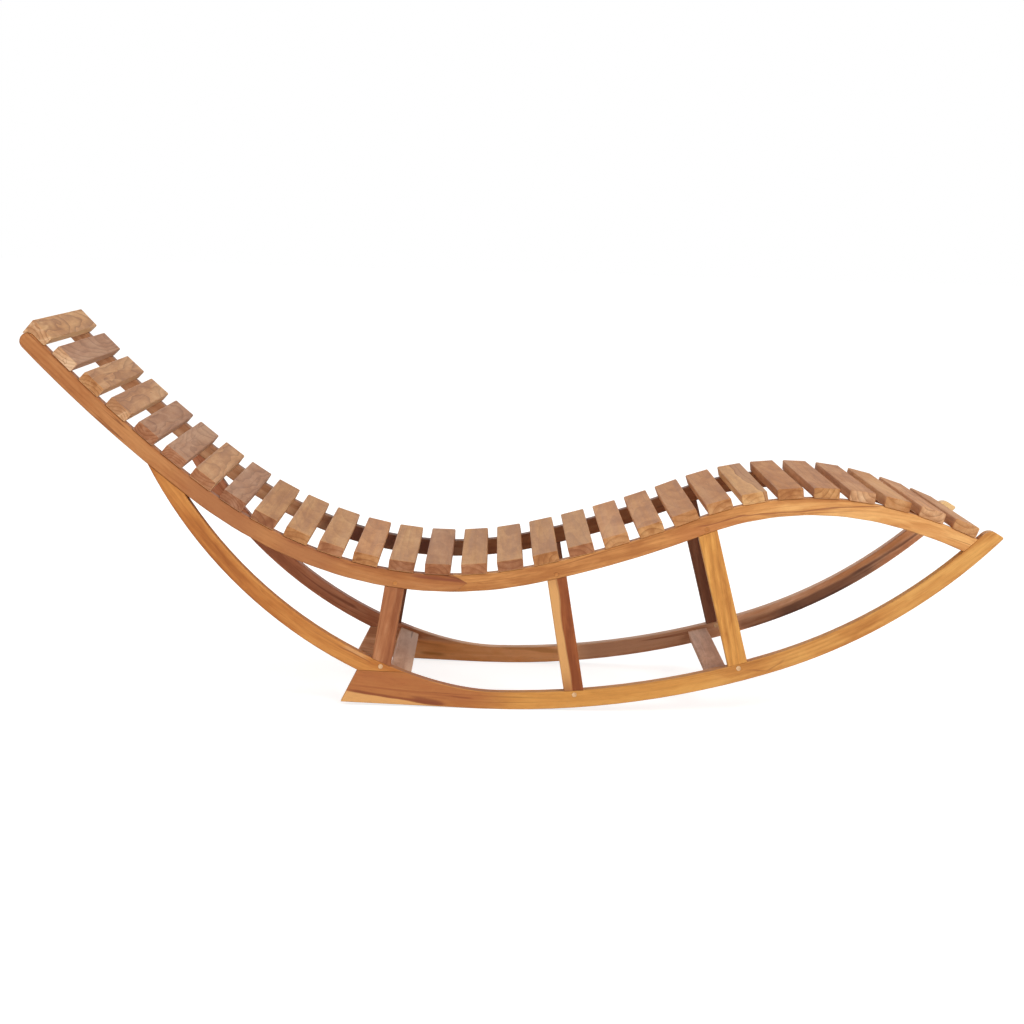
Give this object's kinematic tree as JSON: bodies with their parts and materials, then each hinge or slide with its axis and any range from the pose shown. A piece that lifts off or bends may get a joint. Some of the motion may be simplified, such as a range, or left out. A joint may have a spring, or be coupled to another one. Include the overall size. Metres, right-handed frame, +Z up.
{
  "type": "rocking chaise lounge",
  "caption": "Slatted wooden rocking chaise lounge: S-curved seat rails on curved rockers, with posts, rear braces and cross stretchers.",
  "frame": {"origin": "middle of the bottom of the bounding box: on the ground, midway between the side frames and midway along the overall length", "axes": "+X from the head end to the foot end, +Y across the seat to the left-hand side frame of a person lying in it, +Z up"},
  "size_m": [1.7914, 0.606, 0.6865],
  "materials": {
    "rocker_teak": "oiled straight-grained teak, satin, darker streaks along the board",
    "brace_teak": "oiled straight-grained teak, satin",
    "rail_teak": "oiled straight-grained teak, satin, orange-tan",
    "rear_post_teak": "oiled reddish-brown teak, satin",
    "middle_post_teak": "oiled reddish-brown teak, satin",
    "front_post_teak": "oiled yellow-orange teak, satin",
    "stretcher_teak": "teak gone grey-brown, matt to satin",
    "dowel_hardwood": "light dowel, end grain showing",
    "slat_teak": "teak gone greyish tan, fine and cathedral grain, matt to satin"
  },
  "bodies": {
    "root": {"rocker_right": "rocker_teak", "brace_right": "brace_teak", "seat_rail_back_right": "rail_teak", "seat_rail_front_right": "rail_teak", "post_rear_right": "rear_post_teak", "pin_rear_foot_right": "dowel_hardwood", "pin_rear_head_right": "dowel_hardwood", "post_middle_right": "middle_post_teak", "pin_middle_foot_right": "dowel_hardwood", "pin_middle_head_right": "dowel_hardwood", "post_front_right": "front_post_teak", "pin_front_foot_right": "dowel_hardwood", "pin_front_head_right": "dowel_hardwood", "rocker_left": "rocker_teak", "brace_left": "brace_teak", "seat_rail_back_left": "rail_teak", "seat_rail_front_left": "rail_teak", "post_rear_left": "rear_post_teak", "pin_rear_foot_left": "dowel_hardwood", "pin_rear_head_left": "dowel_hardwood", "post_middle_left": "middle_post_teak", "pin_middle_foot_left": "dowel_hardwood", "pin_middle_head_left": "dowel_hardwood", "post_front_left": "front_post_teak", "pin_front_foot_left": "dowel_hardwood", "pin_front_head_left": "dowel_hardwood", "stretcher_rear": "stretcher_teak", "stretcher_front": "stretcher_teak", "slat_01": "slat_teak", "slat_02": "slat_teak", "slat_03": "slat_teak", "slat_04": "slat_teak", "slat_05": "slat_teak", "slat_06": "slat_teak", "slat_07": "slat_teak", "slat_08": "slat_teak", "slat_09": "slat_teak", "slat_10": "slat_teak", "slat_11": "slat_teak", "slat_12": "slat_teak", "slat_13": "slat_teak", "slat_14": "slat_teak", "slat_15": "slat_teak", "slat_16": "slat_teak", "slat_17": "slat_teak", "slat_18": "slat_teak", "slat_19": "slat_teak", "slat_20": "slat_teak", "slat_21": "slat_teak", "slat_22": "slat_teak", "slat_23": "slat_teak", "slat_24": "slat_teak", "slat_25": "slat_teak", "slat_26": "slat_teak", "slat_27": "slat_teak", "slat_28": "slat_teak", "slat_29": "slat_teak"}
  },
  "joints": []
}
